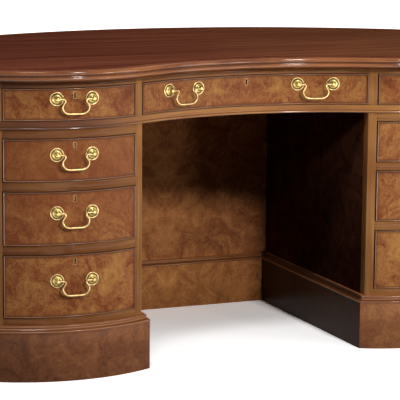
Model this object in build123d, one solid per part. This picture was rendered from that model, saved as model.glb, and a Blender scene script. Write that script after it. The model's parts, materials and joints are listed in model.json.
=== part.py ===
from build123d import *
from math import atan2, cos, degrees, radians, sin, sqrt
import os

# Kidney desk: a moulded kidney-shaped top, a frieze with three drawers, and two pedestals
# with three graduated drawers each, on a tall plinth. Millimetres, +Z up. The drawer side
# faces -Y, and the origin is on the floor under the middle of the top.

# Overall sizes
desk_width = 1830.0
desk_depth = 1008.0
desk_height = 762.0

# Plan of the case: a hollow front arc, two round ends, and a back arc that meets both ends.
# Shares are of the desk's depth for the ends and for what runs back, and otherwise of its width
top_overhang = 28.0
end_radius_share = 0.395
hollow_radius_share = 0.3716
kneehole_width_share = 0.341
kneehole_depth_share = 0.602
drawer_opening_share = 0.1858
drawer_length_share = 0.5407

# Heights, from the floor up
plinth_height = 124.5
plinth_moulding_height = 14.0
foot_rail_height = 17.0
drawer_rail_height = 22.0
head_rail_height = 21.0
waist_board_thickness = 20.5
frieze_drawer_height = 81.0
frieze_rail_height = 13.0
top_thickness = 29.0
# how the lower, middle and upper drawer openings share what the rails leave
drawer_height_shares = (0.3945, 0.3367, 0.2688)

# Walls, frame and boards
shell_thickness = 18.0
side_thickness = 20.0
partition_thickness = 18.0
stile_width = 20.0
stile_depth = 22.0
modesty_thickness = 18.0
inner_board_thickness = 10.0
frieze_rail_depth = 40.0
# curved case walls and drawer fronts are rounded outside and left in flats inside
stave_width = 85.0
joint_gap = 0.1

# Top
moulding_width = 20.0
top_moulding_shares = (
    (0.2, 0.0),
    (0.97, 0.28),
    (0.89, 0.6),
    (1.0, 0.72),
    (0.84, 1.0),
)

# Plinth and waist bead
plinth_projection = 18.3
plinth_moulding_shares = ((1.0, 0.0), (0.42, 0.52), (0.44, 1.0))
waist_bead_height = 5.5
waist_bead_projection = 4.0
waist_bead_shares = ((0.0, 0.0), (1.0, 0.45), (0.0, 1.0))

# Drawers
front_thickness = 20.0
front_gap = 1.2
cockbead_width = 3.0
cockbead_projection = 2.5
lining_thickness = 12.0
bottom_thickness = 6.0
bottom_rise = 8.0
groove_depth = 5.0
running_clearance = 0.3
lining_top_clearance = 9.0
back_clearance = 12.0

# Locks
key_drop = 18.5
escutcheon_width = 10.0
escutcheon_height = 18.6
escutcheon_lining = 2.6
escutcheon_proud = 0.4
escutcheon_shares = (
    (-0.5, -0.5),
    (0.5, -0.5),
    (0.32, 0.05),
    (0.4, 0.36),
    (0.0, 0.5),
    (-0.4, 0.36),
    (-0.32, 0.05),
)
lock_width = 50.0
lock_height = 38.0
lock_thickness = 11.0
lock_sink = 2.0

# Handles
handle_spacing = 89.0
handle_rise = 13.5
frieze_handle_share = 0.2917
rosette_radius = 17.5
rosette_sides = 10
rosette_height = 6.6
rosette_shares = ((1.0, 0.0), (0.9, 0.4), (0.4, 1.0))
post_sides = 6
ball_radius = 6.2
ball_height = 12.0
ball_shares = ((0.5, 0.0), (1.0, 0.6), (0.5, 1.0))
pivot_share = 0.6
bail_radius = 2.2
bail_sides = 5
bail_bearing_clearance = 0.4
bail_end_gap = 1.7
bail_drop = 36.5
bail_neck_reach = 22.0
bail_belly_inset = 10.5
bail_shoulder_drop = 16.0
bail_curl_radius = 4.5
bail_shoulder_radius = 10.0
bail_belly_radius = 13.0

# Plan, worked out from the sizes above
end_radius = end_radius_share * desk_depth
hollow_radius = hollow_radius_share * desk_width
kneehole_width = kneehole_width_share * desk_width
kneehole_depth = kneehole_depth_share * desk_depth
drawer_opening_width = drawer_opening_share * desk_width
drawer_length = drawer_length_share * desk_depth
frieze_handle_x = frieze_handle_share * kneehole_width
case_half_width = desk_width / 2 - top_overhang
case_half_depth = desk_depth / 2 - top_overhang
end_x = case_half_width - end_radius
end_y = end_radius - case_half_depth
hollow_y = end_y - sqrt((hollow_radius + end_radius) ** 2 - end_x**2)
end_to_back = case_half_depth - end_y
back_radius = (end_x**2 + end_to_back**2 - end_radius**2) / (2 * (end_to_back - end_radius))
back_y = case_half_depth - back_radius
front_turn = degrees(atan2(end_y - hollow_y, end_x))
back_turn = degrees(atan2(end_y - back_y, end_x))
back_joint_y = end_y + end_radius * sin(radians(back_turn))

# each arc of the outline: centre, radius, whether outwards is away from the centre, start, turn
half_turn = 180
end_turn = half_turn - front_turn + back_turn
left_end_arc = ((-end_x, end_y), end_radius, 1, half_turn - back_turn, end_turn)
right_end_arc = ((end_x, end_y), end_radius, 1, front_turn - half_turn, end_turn)
hollow_arc = ((0, hollow_y), hollow_radius, -1, front_turn, half_turn - 2 * front_turn)
back_arc = ((0, back_y), back_radius, 1, back_turn, half_turn - 2 * back_turn)
outline_arcs = (left_end_arc, hollow_arc, right_end_arc, back_arc)

# Levels
plinth_top = plinth_height + plinth_moulding_height
top_underside = desk_height - top_thickness
frieze_rail_level = top_underside - frieze_rail_height
waist_board_top = frieze_rail_level - frieze_drawer_height
waist_level = waist_board_top - waist_board_thickness
foot_rail_top = plinth_top + foot_rail_height
head_rail_level = waist_level - head_rail_height
drawers_height = head_rail_level - foot_rail_top - 2 * drawer_rail_height
lower_drawer_top = foot_rail_top + drawer_height_shares[0] * drawers_height
middle_drawer_base = lower_drawer_top + drawer_rail_height
middle_drawer_top = middle_drawer_base + drawer_height_shares[1] * drawers_height
upper_drawer_base = middle_drawer_top + drawer_rail_height
pedestal_rails = (
    (plinth_top, foot_rail_top),
    (lower_drawer_top, middle_drawer_base),
    (middle_drawer_top, upper_drawer_base),
    (head_rail_level, waist_level),
)

# Lines across the plan; the left pedestal is at -X
kneehole_x = kneehole_width / 2
opening_inner_x = kneehole_x + side_thickness
opening_outer_x = opening_inner_x + drawer_opening_width
stile_outer_x = opening_outer_x + stile_width
partition_outer_x = opening_outer_x + partition_thickness


def front_y(x, offset=0):
    # where the front outline, moved outwards by offset, lies at x
    joint_x = end_x * (hollow_radius - offset) / (hollow_radius + end_radius)
    if abs(x) < joint_x:
        return hollow_y + sqrt((hollow_radius - offset) ** 2 - x**2)
    return end_y - sqrt((end_radius + offset) ** 2 - (abs(x) - end_x) ** 2)


def front_normal(x):
    # outward direction of the front outline at x
    y = front_y(x)
    if abs(x) < end_x * hollow_radius / (hollow_radius + end_radius):
        return Vector(-x, hollow_y - y, 0).normalized()
    centre_x = end_x if x > 0 else -end_x
    return Vector(x - centre_x, y - end_y, 0).normalized()


kneehole_front_y = front_y(kneehole_x)
frame_back_y = max(front_y(opening_inner_x), front_y(opening_outer_x)) + stile_depth
modesty_plinth_y = kneehole_front_y + kneehole_depth
modesty_y = modesty_plinth_y + plinth_projection
modesty_back_y = modesty_y + modesty_thickness
drawer_back_y = kneehole_front_y + drawer_length
bay_back_y = drawer_back_y + back_clearance
overrun = desk_width


def block(x_low, x_high, y_low, y_high, z_low, z_high):
    size = (x_high - x_low, y_high - y_low, z_high - z_low)
    return Pos(x_low, y_low, z_low) * Box(*size, align=(Align.MIN, Align.MIN, Align.MIN))


def prism(points, z_low, z_high):
    base = make_face(Polyline(*points, close=True))
    return extrude(Pos(0, 0, z_low) * base, z_high - z_low, dir=(0, 0, 1))


def plate(offset, z_low, z_high):
    # a board of the whole kidney plan
    arcs = [
        CenterArc(centre, radius + side * offset, start, turn)
        for centre, radius, side, start, turn in outline_arcs
    ]
    return extrude(Pos(0, 0, z_low) * make_face(arcs), z_high - z_low, dir=(0, 0, 1))


def flat_plan(offset, z_low, z_high):
    # the kidney plan in flats, as the staves of the case are inside
    points = []
    for (x, y), radius, side, start, turn in outline_arcs:
        count = round(radius * radians(turn) / stave_width)
        for step in range(count):
            along = step if side > 0 else count - step
            angle = radians(start + turn * along / count)
            reach = radius + side * offset
            points.append((x + reach * cos(angle), y + reach * sin(angle)))
    return prism(points, z_low, z_high)


def band(profile):
    # a profile of (offset outwards, height) points carried round the outline
    pieces = []
    for (x, y), radius, side, start, turn in outline_arcs:
        radial = (cos(radians(start)), sin(radians(start)), 0)
        across = (sin(radians(start)), -cos(radians(start)), 0)
        section = Plane(origin=(x, y, 0), x_dir=radial, z_dir=across)
        points = [(radius + side * offset, height) for offset, height in profile]
        face = section * make_face(Polyline(*points, close=True))
        pieces.append(revolve(face, Axis((x, y, 0), (0, 0, 1)), turn))
    return pieces[0] + pieces[1:]


def scaled(shares, width, height, base=0):
    return [(across * width, base + up * height) for across, up in shares]


def mirrored(shape):
    return mirror(shape, Plane.YZ)


# Top and frieze; the frieze is the section under the top that holds the upper row of drawers
def top_board():
    edge = scaled(top_moulding_shares, top_overhang, top_thickness, top_underside)
    moulding = band([*edge, (-moulding_width, desk_height), (-moulding_width, top_underside)])
    return moulding + plate(-moulding_width, top_underside, desk_height)


def frieze_top_rail():
    rail_back_y = front_y(0) + frieze_rail_depth
    span = block(-stile_outer_x, stile_outer_x, -overrun, rail_back_y, 0, desk_height)
    return plate(0, frieze_rail_level, top_underside) & span


def frieze_stiles():
    solid = plate(0, waist_board_top, frieze_rail_level)
    inner = solid & block(-opening_inner_x, -kneehole_x, -overrun, frame_back_y, 0, desk_height)
    outer = solid & block(-stile_outer_x, -opening_outer_x, -overrun, frame_back_y, 0, desk_height)
    return [inner, outer, mirrored(inner), mirrored(outer)]


def case_wall(z_low, z_high):
    return plate(0, z_low, z_high) - flat_plan(-shell_thickness, z_low, z_high)


def frieze_shell():
    # two curved ends, and the back in two halves
    front = block(-stile_outer_x, overrun, -overrun, end_y, 0, desk_height)
    middle = block(-joint_gap / 2, overrun, -overrun, overrun, 0, desk_height)
    left = case_wall(waist_board_top, top_underside) - [front, middle]
    end = left - block(-overrun, overrun, back_joint_y, overrun, 0, desk_height)
    back = left & block(-overrun, overrun, back_joint_y + joint_gap, overrun, 0, desk_height)
    return [end, back, mirrored(back), mirrored(end)]


def frieze_partitions():
    inside = flat_plan(-shell_thickness, waist_board_top, top_underside) - frieze_top_rail()
    inner = inside & block(-opening_inner_x, -kneehole_x, frame_back_y, overrun, 0, desk_height)
    outer = inside & block(-partition_outer_x, -opening_outer_x, frame_back_y, overrun, 0, desk_height)
    return [inner, outer, mirrored(inner), mirrored(outer)]


def waist_board():
    bead = band(scaled(waist_bead_shares, waist_bead_projection, waist_bead_height, waist_level))
    return plate(0, waist_level, waist_board_top) + bead


# Pedestals, drawn on the left and mirrored for the right
def pedestal_shell():
    end_part = block(-overrun, -stile_outer_x, -overrun, overrun, 0, desk_height)
    back_part = block(-overrun, -kneehole_x, end_y, overrun, 0, desk_height)
    return case_wall(plinth_top, waist_level) & (end_part + back_part)


def kneehole_side():
    side = block(-opening_inner_x, -kneehole_x, frame_back_y, overrun, 0, waist_level)
    return side & flat_plan(-shell_thickness, plinth_top, waist_level)


def face_frames():
    # on each pedestal, two stiles and the bowed rails between the drawers
    solid = plate(0, plinth_top, waist_level)
    pieces = [
        solid & block(-opening_inner_x, -kneehole_x, -overrun, frame_back_y, 0, waist_level),
        solid & block(-stile_outer_x, -opening_outer_x, -overrun, frame_back_y, 0, waist_level),
    ]
    rail_low_x = joint_gap - opening_outer_x
    rail_high_x = -joint_gap - opening_inner_x
    for low, high in pedestal_rails:
        pieces.append(solid & block(rail_low_x, rail_high_x, -overrun, frame_back_y, low, high))
    return pieces + [mirrored(piece) for piece in pieces]


def inner_case():
    # the outer partition, the boards that the drawers run on, and the board behind the drawers
    outer = block(-partition_outer_x, -opening_outer_x, frame_back_y, overrun, 0, waist_level)
    pieces = [outer & flat_plan(-shell_thickness, plinth_top, waist_level)]
    low_x = joint_gap - opening_outer_x
    shelf_back_y = bay_back_y - joint_gap
    for _, top in pedestal_rails:
        base = top - inner_board_thickness
        pieces.append(block(low_x, -opening_inner_x, frame_back_y, shelf_back_y, base, top))
    back_y_high = bay_back_y + inner_board_thickness
    pieces.append(block(low_x, -opening_inner_x, bay_back_y, back_y_high, plinth_top, waist_level))
    return pieces


def centre_back_panel():
    span = block(-kneehole_x, kneehole_x, end_y, overrun, 0, waist_level)
    return case_wall(plinth_top, waist_level) & span


def modesty_panel():
    return block(-kneehole_x, kneehole_x, modesty_y, modesty_back_y, plinth_top, waist_level)


def plinths():
    # moulded frames under both pedestals, and boards between them behind the kneehole and at the back
    moulding = scaled(plinth_moulding_shares, plinth_projection, plinth_moulding_height, plinth_height)
    edge = [(plinth_projection, 0), *moulding]
    solid = band([(0, 0), *edge, (0, plinth_top)]) + plate(0, 0, plinth_top)
    # the open space of the kneehole between the moulded edges, which mitres every corner
    across = [(out - kneehole_x, up) for out, up in edge]
    across += [(kneehole_x - out, up) for out, up in reversed(edge)]
    inwards = [(modesty_y - out, up) for out, up in edge]
    inwards += [(-overrun, plinth_top), (-overrun, 0)]
    width_plane = Plane(origin=(0, overrun, 0), x_dir=(1, 0, 0), z_dir=(0, -1, 0))
    depth_plane = Plane(origin=(-overrun, 0, 0), x_dir=(0, 1, 0), z_dir=(1, 0, 0))
    kneehole = extrude(width_plane * make_face(Polyline(*across, close=True)), 2 * overrun)
    kneehole &= extrude(depth_plane * make_face(Polyline(*inwards, close=True)), 2 * overrun)
    inside = flat_plan(-shell_thickness, 0, plinth_top)
    left_space = inside & block(-overrun, -opening_inner_x, -overrun, overrun, 0, plinth_top)
    back_space = inside & block(-kneehole_x, kneehole_x, modesty_back_y, overrun, 0, plinth_top)
    joint_y = modesty_plinth_y - joint_gap
    corner_joints = block(-kneehole_x, kneehole_x, joint_y, modesty_plinth_y, 0, plinth_top)
    back_joint = block(-kneehole_x - joint_gap, -kneehole_x, joint_y, overrun, 0, plinth_top)
    solid -= [kneehole, left_space, mirrored(left_space), back_space]
    solid -= [corner_joints, back_joint, mirrored(back_joint)]
    left, *boards, right = solid.solids().sort_by(Axis.X)
    front, back = sorted(boards, key=lambda board: board.center().Y)
    return {"pedestal_plinths": [left, right], "kneehole_plinth": front, "back_plinth": back}


# Drawers: each is given by the opening that it fills
def behind_front(low_x, high_x, z_low, z_high):
    # the space of a drawer behind its front, which is in flats inside
    count = 2 * round((high_x - low_x) / (2 * stave_width))
    steps = [low_x + (high_x - low_x) * step / count for step in range(count + 1)]
    flats = [(x, front_y(x, -front_thickness)) for x in steps]
    return prism([*flats, (high_x, drawer_back_y), (low_x, drawer_back_y)], z_low, z_high)


def drawer_front(low_x, high_x, base, top):
    # its cockbead stands proud round the edge and slopes down to the field
    low_x += front_gap
    high_x -= front_gap
    base += front_gap
    top -= front_gap
    profile = [
        (-2 * front_thickness, base),
        (cockbead_projection, base),
        (0, base + cockbead_width),
        (0, top - cockbead_width),
        (cockbead_projection, top),
        (-2 * front_thickness, top),
    ]
    front = band(profile) & block(low_x, high_x, -overrun, end_y, base, top)
    for edge_x, inner_x in ((low_x, low_x + cockbead_width), (high_x, high_x - cockbead_width)):
        points = [
            (edge_x, front_y(edge_x, cockbead_projection)),
            (inner_x, front_y(inner_x)),
            (inner_x, front_y(inner_x, -cockbead_width)),
            (edge_x, front_y(edge_x, -cockbead_width)),
        ]
        front += prism(points, base, top)
    return front - behind_front(low_x, high_x, base, top)


def drawer_box(low_x, high_x, base, top):
    # two sides and a back, with the bottom panel in grooves in the sides and under the back
    low_x += front_gap
    high_x -= front_gap
    base += running_clearance
    lining_top = top - lining_top_clearance
    behind = behind_front(low_x, high_x, base, lining_top)
    panel_base = base + bottom_rise
    panel_top = panel_base + bottom_thickness
    inner_low_x = low_x + lining_thickness
    inner_high_x = high_x - lining_thickness
    panel_low_x = inner_low_x - groove_depth
    panel_high_x = inner_high_x + groove_depth
    panel = behind & block(panel_low_x, panel_high_x, -overrun, overrun, panel_base, panel_top)
    grooves = block(
        panel_low_x - joint_gap,
        panel_high_x + joint_gap,
        -overrun,
        overrun,
        panel_base - joint_gap,
        panel_top + joint_gap,
    )
    low_side = (behind & block(low_x, inner_low_x, -overrun, overrun, base, lining_top)) - grooves
    high_side = (behind & block(inner_high_x, high_x, -overrun, overrun, base, lining_top)) - grooves
    back = block(
        inner_low_x + joint_gap,
        inner_high_x - joint_gap,
        drawer_back_y - lining_thickness,
        drawer_back_y,
        panel_top + joint_gap,
        lining_top,
    )
    return [low_side, high_side, panel, back]


def face_plane(x, z):
    # on the drawer face at x, looking outwards, with local Y up
    normal = front_normal(x)
    return Plane(origin=(x, front_y(x), z), x_dir=Vector(0, 0, 1).cross(normal), z_dir=normal)


def keyhole(width, height, z_low, z_high):
    return prism(scaled(escutcheon_shares, width, height), z_low, z_high)


def lock(x, top):
    # the lock case let into the back of the front up to its top edge, and the brass-lined keyhole
    place = face_plane(x, top - key_drop)
    high = key_drop - front_gap
    low = high - lock_height
    lock_back = lock_sink - front_thickness
    lock_front = lock_back + lock_thickness
    case = block(-lock_width / 2, lock_width / 2, low, high, lock_back, lock_front)
    recess = block(-lock_width / 2, lock_width / 2, low, high + overrun, -overrun, lock_front)
    pocket = keyhole(escutcheon_width, escutcheon_height, lock_front, front_thickness)
    lining = keyhole(escutcheon_width, escutcheon_height, lock_front + joint_gap, escutcheon_proud)
    inner_width = escutcheon_width - 2 * escutcheon_lining
    inner_height = escutcheon_height - 2 * escutcheon_lining
    lining -= keyhole(inner_width, inner_height, lock_front, front_thickness)
    return [place * case, place * lining], place * (recess + pocket)


def faceted(rings):
    # a closed solid with flat faces between rings of points, because small brasses repeat
    outlines = [rings[0], rings[-1]]
    for low, high in zip(rings, rings[1:]):
        outlines += [[low[i - 1], low[i], high[i], high[i - 1]] for i in range(len(low))]
    return Solid(Shell([Face(Wire.make_polygon(outline)) for outline in outlines]))


def angles(sides):
    return [radians(2 * half_turn * i / sides) for i in range(sides)]


def turned(shares, radius, height, sides, base=0):
    rings = []
    for across, up in shares:
        reach = across * radius
        level = base + up * height
        rings.append([Vector(reach * cos(a), reach * sin(a), level) for a in angles(sides)])
    return faceted(rings)


def bar(points, radius):
    # a bar of few sides along points in one plane, mitred where it bends
    legs = [(after - before).normalized() for before, after in zip(points, points[1:])]
    rings = []
    for point, before, after in zip(points, [legs[0], *legs], [*legs, legs[-1]]):
        heading = (before + after).normalized()
        across = heading.cross(Vector(0, 0, 1)) * (radius / heading.dot(after))
        rings.append([point + across * cos(a) + Vector(0, 0, radius * sin(a)) for a in angles(bail_sides)])
    return faceted(rings)


def handle_places(x, z):
    # where a handle's two backplates sit; on the hollow they rest on their rims
    hollow_rise = hollow_radius - sqrt(hollow_radius**2 - rosette_radius**2)
    places = []
    for post_x in (x - handle_spacing / 2, x + handle_spacing / 2):
        rise = hollow_rise if abs(post_x) < kneehole_x else 0
        places.append(face_plane(post_x, z).offset(rise))
    return places


def bail_frame(x, z):
    # the bail's plane, with its origin midway between the balls, and half the distance between them
    stand = rosette_height + pivot_share * ball_height
    low, high = [place.offset(stand).origin for place in handle_places(x, z)]
    along = (high - low).normalized()
    frame = Plane(origin=(low + high) / 2, x_dir=along, z_dir=along.cross(Vector(0, 0, 1)))
    return frame, (high - low).length / 2


def backplates(x, z):
    # round backplates, each with its post and drilled ball
    frame, half_span = bail_frame(x, z)
    reach = half_span - bail_end_gap + bail_bearing_clearance
    bearing_radius = (bail_radius + bail_bearing_clearance) / cos(radians(half_turn / bail_sides))
    drill = frame * bar([Vector(-reach, 0, 0), Vector(reach, 0, 0)], bearing_radius)
    plate_form = turned(rosette_shares, rosette_radius, rosette_height, rosette_sides)
    post = turned(ball_shares, ball_radius, ball_height, post_sides, rosette_height)
    return [(place * (plate_form + post)) - drill for place in handle_places(x, z)]


def bail(x, z):
    # short arms out of the balls, curled down and out into a flat-bottomed belly
    frame, half_span = bail_frame(x, z)
    belly_reach = half_span - bail_belly_inset
    half = [
        (bail_end_gap - half_span, 0),
        (-bail_neck_reach, 0),
        (-belly_reach, -bail_shoulder_drop),
        (-belly_reach, -bail_drop),
    ]
    corners = half + [(-across, up) for across, up in reversed(half)]
    radii = [bail_curl_radius, bail_shoulder_radius, bail_belly_radius]
    path = FilletPolyline(*corners, radius=radii + radii[::-1])
    points = [path.position_at(0)] + [edge.position_at(1) for edge in path.order_edges()]
    return frame * bar(points, bail_radius)


def drawer_nodes(name, opening, bails):
    low_x, high_x, base, top = opening
    brasses, recess = lock((low_x + high_x) / 2, top)
    handle_z = (base + top) / 2 + handle_rise
    nodes = {
        f"{name}_front": drawer_front(*opening) - recess,
        f"{name}_box": drawer_box(*opening),
    }
    for bail_name, x in bails.items():
        brasses += backplates(x, handle_z)
        nodes[f"{name}_{bail_name}"] = bail(x, handle_z)
    nodes[f"{name}_brasses"] = brasses
    return nodes


def pedestal_nodes():
    left = {
        "pedestal_shell": [pedestal_shell()],
        "kneehole_side": [kneehole_side()],
        "inner_case": inner_case(),
    }
    nodes = {}
    for name, pieces in left.items():
        nodes[f"left_{name}"] = pieces
        nodes[f"right_{name}"] = [mirrored(piece) for piece in pieces]
    return nodes


desk = {
    "top_board": top_board(),
    "frieze_top_rail": frieze_top_rail(),
    "frieze_stiles": frieze_stiles(),
    "frieze_shell": frieze_shell(),
    "frieze_partitions": frieze_partitions(),
    "waist_board": waist_board(),
    "centre_back_panel": centre_back_panel(),
    "modesty_panel": modesty_panel(),
    "face_frames": face_frames(),
    **plinths(),
    **pedestal_nodes(),
}
frieze_levels = (waist_board_top, frieze_rail_level)
centre_bails = {"left_bail": -frieze_handle_x, "right_bail": frieze_handle_x}
desk.update(drawer_nodes("centre_frieze_drawer", (-kneehole_x, kneehole_x, *frieze_levels), centre_bails))
side_levels = {
    "frieze": frieze_levels,
    "upper": (upper_drawer_base, head_rail_level),
    "middle": (middle_drawer_base, middle_drawer_top),
    "lower": (foot_rail_top, lower_drawer_top),
}
side_drawer_x = (opening_inner_x + opening_outer_x) / 2
for side, centre_x in (("left", -side_drawer_x), ("right", side_drawer_x)):
    across = (centre_x - drawer_opening_width / 2, centre_x + drawer_opening_width / 2)
    for level, heights in side_levels.items():
        desk.update(drawer_nodes(f"{side}_{level}_drawer", (*across, *heights), {"bail": centre_x}))

os.makedirs("parts", exist_ok=True)
for node, shape in desk.items():
    pieces = shape if isinstance(shape, list) else [shape]
    solids = [solid for piece in pieces for solid in piece.solids()]
    export_step(solids[0] if len(solids) == 1 else Compound(children=solids), f"parts/{node}.step")
    print(node, len(solids), "solids")
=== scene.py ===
import json
from math import acos, atan2, cos, pi, radians, sin, sqrt

import bmesh
import bpy
from mathutils import Matrix, Vector

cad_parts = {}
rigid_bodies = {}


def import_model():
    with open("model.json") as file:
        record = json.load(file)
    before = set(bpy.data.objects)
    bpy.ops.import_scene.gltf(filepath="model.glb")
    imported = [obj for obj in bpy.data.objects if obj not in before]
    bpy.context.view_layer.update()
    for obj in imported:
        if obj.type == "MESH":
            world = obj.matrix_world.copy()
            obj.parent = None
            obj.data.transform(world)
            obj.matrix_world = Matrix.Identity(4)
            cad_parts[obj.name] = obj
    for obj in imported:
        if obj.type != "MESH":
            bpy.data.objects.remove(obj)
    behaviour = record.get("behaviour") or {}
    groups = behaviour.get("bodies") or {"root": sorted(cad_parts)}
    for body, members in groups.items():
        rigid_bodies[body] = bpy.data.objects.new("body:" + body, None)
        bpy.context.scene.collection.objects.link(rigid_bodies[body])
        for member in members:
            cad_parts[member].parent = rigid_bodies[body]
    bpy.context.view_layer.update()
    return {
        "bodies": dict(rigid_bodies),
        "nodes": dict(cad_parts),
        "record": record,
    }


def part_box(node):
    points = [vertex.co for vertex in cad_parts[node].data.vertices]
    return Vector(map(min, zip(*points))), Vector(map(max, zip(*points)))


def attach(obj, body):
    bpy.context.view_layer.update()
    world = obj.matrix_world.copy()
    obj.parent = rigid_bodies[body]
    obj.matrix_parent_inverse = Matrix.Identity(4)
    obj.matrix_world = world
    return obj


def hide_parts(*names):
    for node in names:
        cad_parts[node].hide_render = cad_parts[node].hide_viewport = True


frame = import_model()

print("desk loaded:", len(frame["nodes"]), "nodes")

mm = 0.001
upwards = Vector((0, 0, 1))

# the plan of the desk: the round ends, the hollow front and the bowed back, in metres
plan = {
    "endCentre": (0.48884, -0.07784),
    "endRadius": 0.39816,
    "hollowCentreY": -1.03862,
    "hollowRadius": 0.680028,
    "overhang": 0.028,
    "kneeholeX": 0.312015,
    "outlineStep": 0.011,
}
endX, endY = plan["endCentre"]
endRadius = plan["endRadius"]
hollowY, hollowRadius = plan["hollowCentreY"], plan["hollowRadius"]
kneeholeX = plan["kneeholeX"]
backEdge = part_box("top_board")[1].y - plan["overhang"]
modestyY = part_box("modesty_panel")[0].y
endToBack = backEdge - endY
backRadius = (endX**2 + endToBack**2 - endRadius**2) / (2 * (endToBack - endRadius))
backY = backEdge - backRadius


def frontY(x, out=0.0):
    # where the front of the case, moved outwards by out, lies at x
    jointX = endX * (hollowRadius - out) / (hollowRadius + endRadius)
    if abs(x) < jointX:
        return hollowY + sqrt((hollowRadius - out) ** 2 - x * x)
    return endY - sqrt((endRadius + out) ** 2 - (abs(x) - endX) ** 2)


def frontNormal(x):
    if abs(x) < endX * hollowRadius / (hollowRadius + endRadius):
        return Vector((-x, hollowY - frontY(x), 0)).normalized()
    return Vector((x - (endX if x > 0 else -endX), frontY(x) - endY, 0)).normalized()


def outline(out, kneehole=False):
    # points and distances once round the case, anticlockwise seen from above;
    # with kneehole, the line turns into it instead of crossing the hollow front
    frontTurn = atan2(endY - hollowY, endX)
    backTurn = atan2(endY - backY, endX)
    insideX = kneeholeX - out
    plainTurn = frontTurn
    if kneehole:
        plainTurn = acos((endX - kneeholeX) / endRadius)
        frontTurn = acos((endX - insideX) / (endRadius + out))
    endLength = (pi - plainTurn + backTurn) * endRadius
    hollowLength = (pi - 2 * plainTurn) * hollowRadius
    backLength = (pi - 2 * backTurn) * backRadius
    arcs = [
        (-endX, endY, endRadius, 1, pi - backTurn, 2 * pi - frontTurn, endLength),
        (0, hollowY, hollowRadius, -1, pi - frontTurn, frontTurn, hollowLength),
        (endX, endY, endRadius, 1, frontTurn - pi, backTurn, endLength),
        (0, backY, backRadius, 1, backTurn, pi - backTurn, backLength),
    ]
    points = []
    travelled = 0.0
    for x, y, radius, side, start, end, length in arcs:
        if kneehole and side < 0:
            insideY = modestyY - out
            low = endY - (endRadius + out) * sin(frontTurn)
            points += [(-insideX, low, travelled), (-insideX, insideY, travelled + insideY - low)]
            points.append((insideX, insideY, travelled + insideY - low + 2 * insideX))
            travelled += 2 * (insideY - low) + 2 * insideX
            continue
        count = round(length / plan["outlineStep"])
        for step in range(count):
            angle = start + (end - start) * step / count
            reach = radius + side * out
            spot = (x + reach * cos(angle), y + reach * sin(angle))
            points.append((*spot, travelled + length * step / count))
        travelled += length
    return points


class Feed:
    # one output socket, so that shader maths reads as plain sums
    def __init__(self, finish, socket):
        self.finish = finish
        self.socket = socket

    def maths(self, operation, other, turned=False):
        pair = [other, self] if turned else [self, other]
        return self.finish.node("ShaderNodeMath", {"operation": operation}, pair)

    def __add__(self, other):
        return self.maths("ADD", other)

    def __radd__(self, other):
        return self.maths("ADD", other, True)

    def __sub__(self, other):
        return self.maths("SUBTRACT", other)

    def __rsub__(self, other):
        return self.maths("SUBTRACT", other, True)

    def __mul__(self, other):
        return self.maths("MULTIPLY", other)

    def __rmul__(self, other):
        return self.maths("MULTIPLY", other, True)

    def __pow__(self, other):
        return self.maths("POWER", other)

    def __gt__(self, other):
        return self.maths("GREATER_THAN", other)

    def __lt__(self, other):
        return self.maths("LESS_THAN", other)

    def __abs__(self):
        return self.maths("ABSOLUTE", 0.0)


class Nodes:
    # a tree of nodes, with one way to add any node to it
    def __init__(self, tree):
        self.tree = tree
        self.tree.nodes.clear()

    def node(self, kind, settings=None, values=(), output=0):
        made = self.tree.nodes.new(kind)
        for key, value in (settings or {}).items():
            if key == "stops":
                self.setStops(made.color_ramp, value)
            else:
                setattr(made, key, value)
        for key, value in values.items() if isinstance(values, dict) else enumerate(values):
            if isinstance(value, Feed):
                self.tree.links.new(value.socket, made.inputs[key])
            else:
                made.inputs[key].default_value = tint(value) if isinstance(value, str) else value
        return Feed(self, made.outputs[output]) if made.outputs else None

    def setStops(self, ramp, stops):
        while len(ramp.elements) < len(stops):
            ramp.elements.new(0.5)
        for element, (place, colour) in zip(ramp.elements, stops):
            element.position = place
            element.color = tint(colour)


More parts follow.
